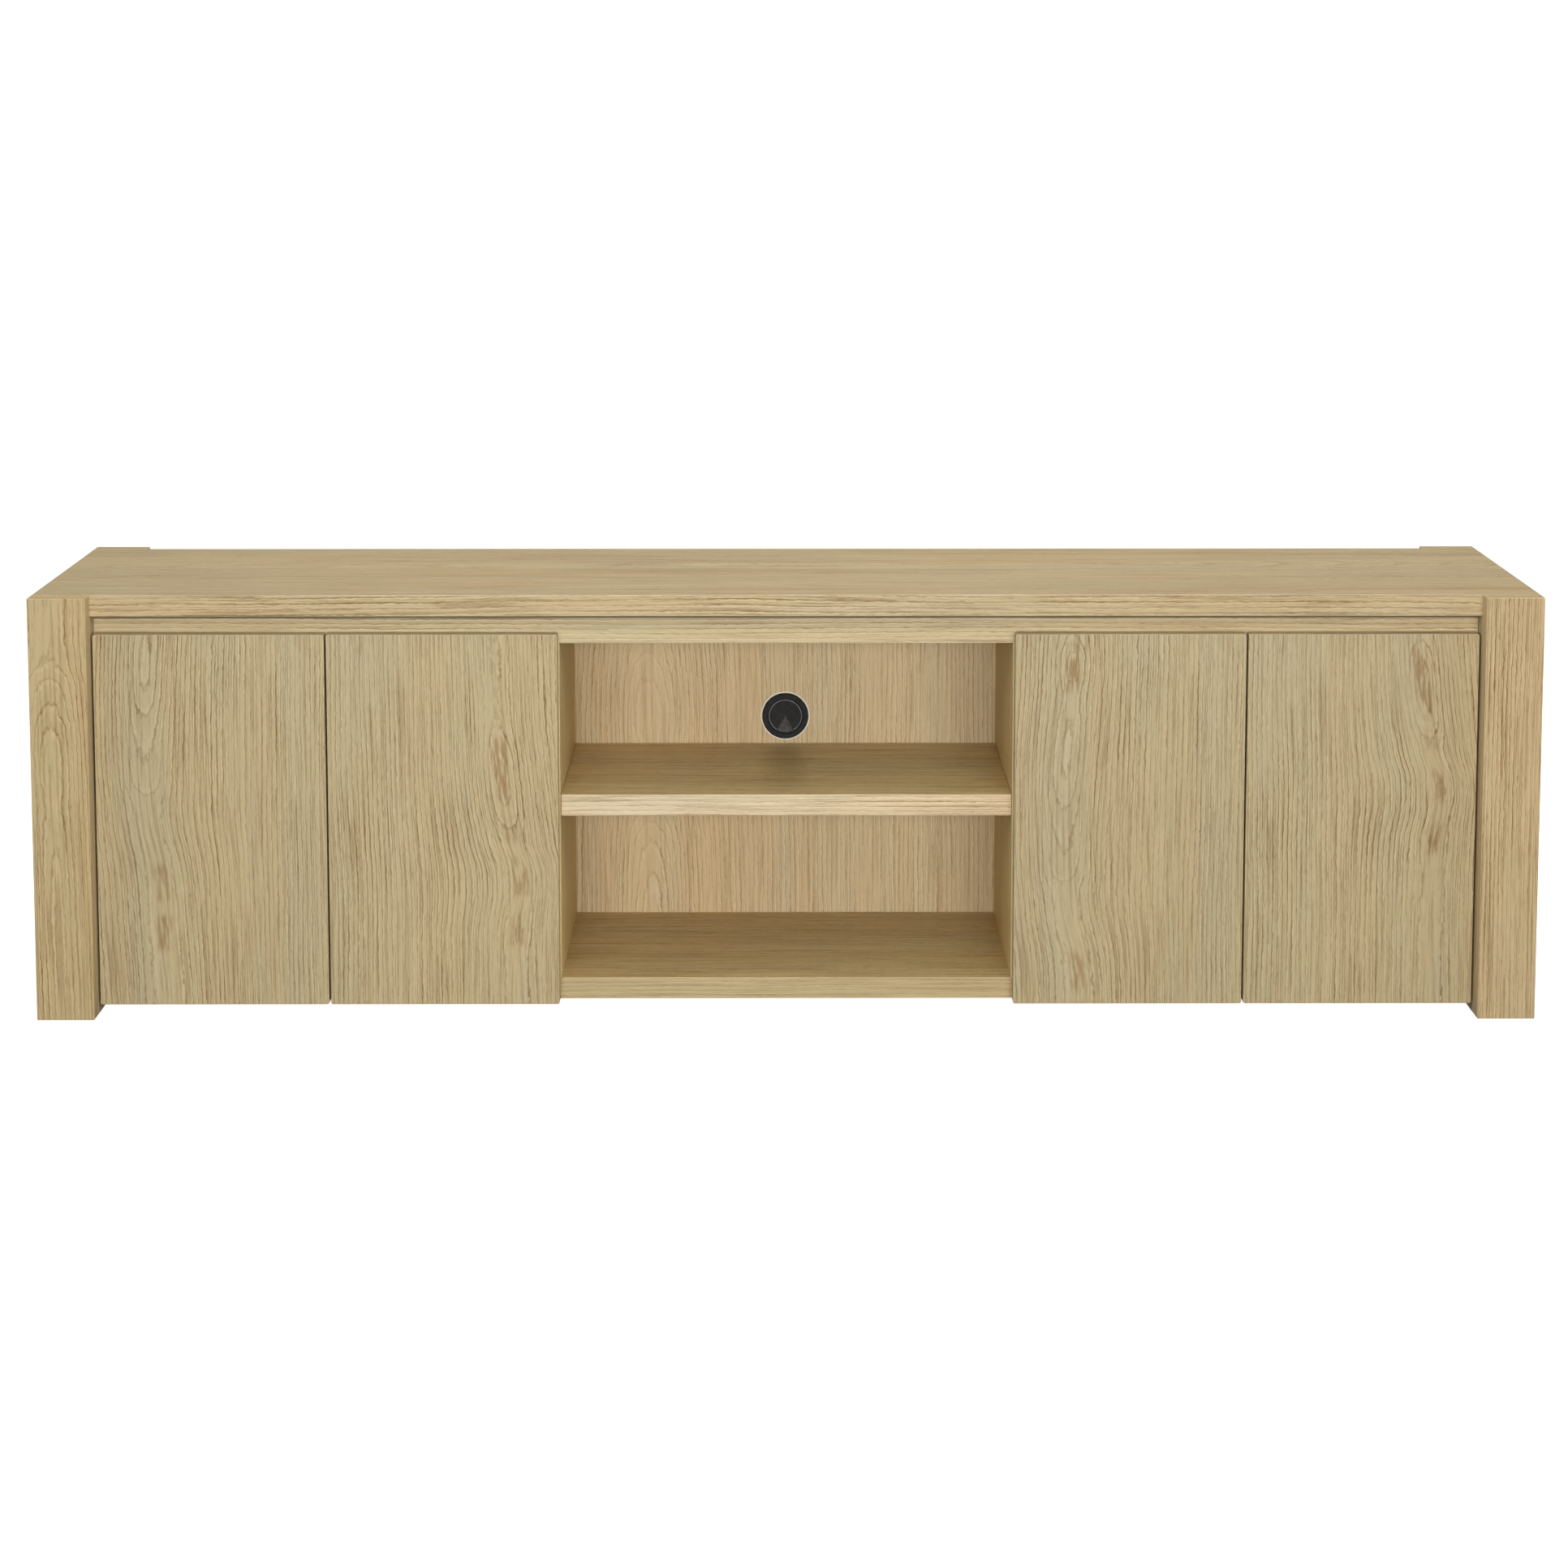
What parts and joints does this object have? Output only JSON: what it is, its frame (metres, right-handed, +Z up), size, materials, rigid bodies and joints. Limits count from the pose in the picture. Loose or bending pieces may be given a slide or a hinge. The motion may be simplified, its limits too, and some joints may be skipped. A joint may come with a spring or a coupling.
{
  "type": "media cabinet",
  "caption": "Low oak-veneered media cabinet: hinged doors in pairs either side of an open bay with a shelf and a cable grommet.",
  "frame": {"origin": "on the floor, in the middle of the footprint", "axes": "+X across the width to the viewer's right, -Y out of the front where the doors are, +Z up"},
  "size_m": [1.8, 0.395, 0.513],
  "materials": {
    "oak_veneer": "matt lacquered oak veneer, grain upright",
    "oak_veneer_long": "matt lacquered oak veneer, grain along the width",
    "plated_steel": "nickel-plated pressed steel",
    "black_plastic": "black moulded plastic"
  },
  "bodies": {
    "carcass": {"bottom_panel": "oak_veneer_long", "center_back_panel": "oak_veneer", "center_shelf": "oak_veneer", "grommet_ring": "black_plastic", "left_back_panel": "oak_veneer", "left_divider": "oak_veneer", "left_front_post": "oak_veneer", "left_inner_door_lower_hinge_arm": "plated_steel", "left_inner_door_upper_hinge_arm": "plated_steel", "left_inner_front_shelf_pin": "plated_steel", "left_inner_panel": "oak_veneer", "left_inner_rear_shelf_pin": "plated_steel", "left_outer_door_lower_hinge_arm": "plated_steel", "left_outer_door_upper_hinge_arm": "plated_steel", "left_outer_front_shelf_pin": "plated_steel", "left_outer_panel": "oak_veneer", "left_outer_rear_shelf_pin": "plated_steel", "left_rear_post": "oak_veneer", "left_shelf": "oak_veneer", "left_support_foot": "black_plastic", "right_back_panel": "oak_veneer", "right_divider": "oak_veneer", "right_front_post": "oak_veneer", "right_inner_door_lower_hinge_arm": "plated_steel", "right_inner_door_upper_hinge_arm": "plated_steel", "right_inner_front_shelf_pin": "plated_steel", "right_inner_panel": "oak_veneer", "right_inner_rear_shelf_pin": "plated_steel", "right_outer_door_lower_hinge_arm": "plated_steel", "right_outer_door_upper_hinge_arm": "plated_steel", "right_outer_front_shelf_pin": "plated_steel", "right_outer_panel": "oak_veneer", "right_outer_rear_shelf_pin": "plated_steel", "right_rear_post": "oak_veneer", "right_shelf": "oak_veneer", "right_support_foot": "black_plastic", "top_panel": "oak_veneer_long", "top_rail": "oak_veneer_long"},
    "left_outer_door": {"left_outer_door": "oak_veneer", "left_outer_door_lower_hinge_cup": "plated_steel", "left_outer_door_upper_hinge_cup": "plated_steel"},
    "left_outer_hinge_links": {"left_outer_door_lower_hinge_link": "plated_steel", "left_outer_door_upper_hinge_link": "plated_steel"},
    "left_inner_door": {"left_inner_door": "oak_veneer", "left_inner_door_lower_hinge_cup": "plated_steel", "left_inner_door_upper_hinge_cup": "plated_steel"},
    "left_inner_hinge_links": {"left_inner_door_lower_hinge_link": "plated_steel", "left_inner_door_upper_hinge_link": "plated_steel"},
    "right_inner_door": {"right_inner_door": "oak_veneer", "right_inner_door_lower_hinge_cup": "plated_steel", "right_inner_door_upper_hinge_cup": "plated_steel"},
    "right_inner_hinge_links": {"right_inner_door_lower_hinge_link": "plated_steel", "right_inner_door_upper_hinge_link": "plated_steel"},
    "right_outer_door": {"right_outer_door": "oak_veneer", "right_outer_door_lower_hinge_cup": "plated_steel", "right_outer_door_upper_hinge_cup": "plated_steel"},
    "right_outer_hinge_links": {"right_outer_door_lower_hinge_link": "plated_steel", "right_outer_door_upper_hinge_link": "plated_steel"},
    "grommet_cap": {"grommet_cap": "black_plastic"}
  },
  "joints": [
    {"name": "left_outer_door_swing", "type": "hinge", "parent": "carcass", "child": "left_outer_door", "pos_m": [-0.8285, -0.1735, 0.2385], "axis": [0, 0, -1], "range_deg": [0, 90]},
    {"name": "left_outer_hinge_links_swing", "type": "hinge", "parent": "left_outer_door", "child": "left_outer_hinge_links", "pos_m": [-0.8165, -0.1585, 0.2385], "axis": [0, 0, -1], "range_deg": [-90, 0]},
    {"name": "left_inner_door_swing", "type": "hinge", "parent": "carcass", "child": "left_inner_door", "pos_m": [-0.274, -0.1735, 0.2385], "axis": [0, 0, 1], "range_deg": [0, 105]},
    {"name": "left_inner_hinge_links_swing", "type": "hinge", "parent": "left_inner_door", "child": "left_inner_hinge_links", "pos_m": [-0.286, -0.1585, 0.2385], "axis": [0, 0, 1], "range_deg": [-105, 0]},
    {"name": "right_inner_door_swing", "type": "hinge", "parent": "carcass", "child": "right_inner_door", "pos_m": [0.274, -0.1735, 0.2385], "axis": [0, 0, -1], "range_deg": [0, 105]},
    {"name": "right_inner_hinge_links_swing", "type": "hinge", "parent": "right_inner_door", "child": "right_inner_hinge_links", "pos_m": [0.286, -0.1585, 0.2385], "axis": [0, 0, -1], "range_deg": [-105, 0]},
    {"name": "right_outer_door_swing", "type": "hinge", "parent": "carcass", "child": "right_outer_door", "pos_m": [0.8285, -0.1735, 0.2385], "axis": [0, 0, 1], "range_deg": [0, 90]},
    {"name": "right_outer_hinge_links_swing", "type": "hinge", "parent": "right_outer_door", "child": "right_outer_hinge_links", "pos_m": [0.8165, -0.1585, 0.2385], "axis": [0, 0, 1], "range_deg": [-90, 0]},
    {"name": "grommet_cap_turn", "type": "hinge", "parent": "carcass", "child": "grommet_cap", "pos_m": [0, 0.1385, 0.3], "axis": [0, -1, 0], "continuous": true}
  ],
  "couplings": [
    {"joint": "left_outer_hinge_links_swing", "follows": "left_outer_door_swing", "ratio": -1},
    {"joint": "left_inner_hinge_links_swing", "follows": "left_inner_door_swing", "ratio": -1},
    {"joint": "right_inner_hinge_links_swing", "follows": "right_inner_door_swing", "ratio": -1},
    {"joint": "right_outer_hinge_links_swing", "follows": "right_outer_door_swing", "ratio": -1}
  ]
}
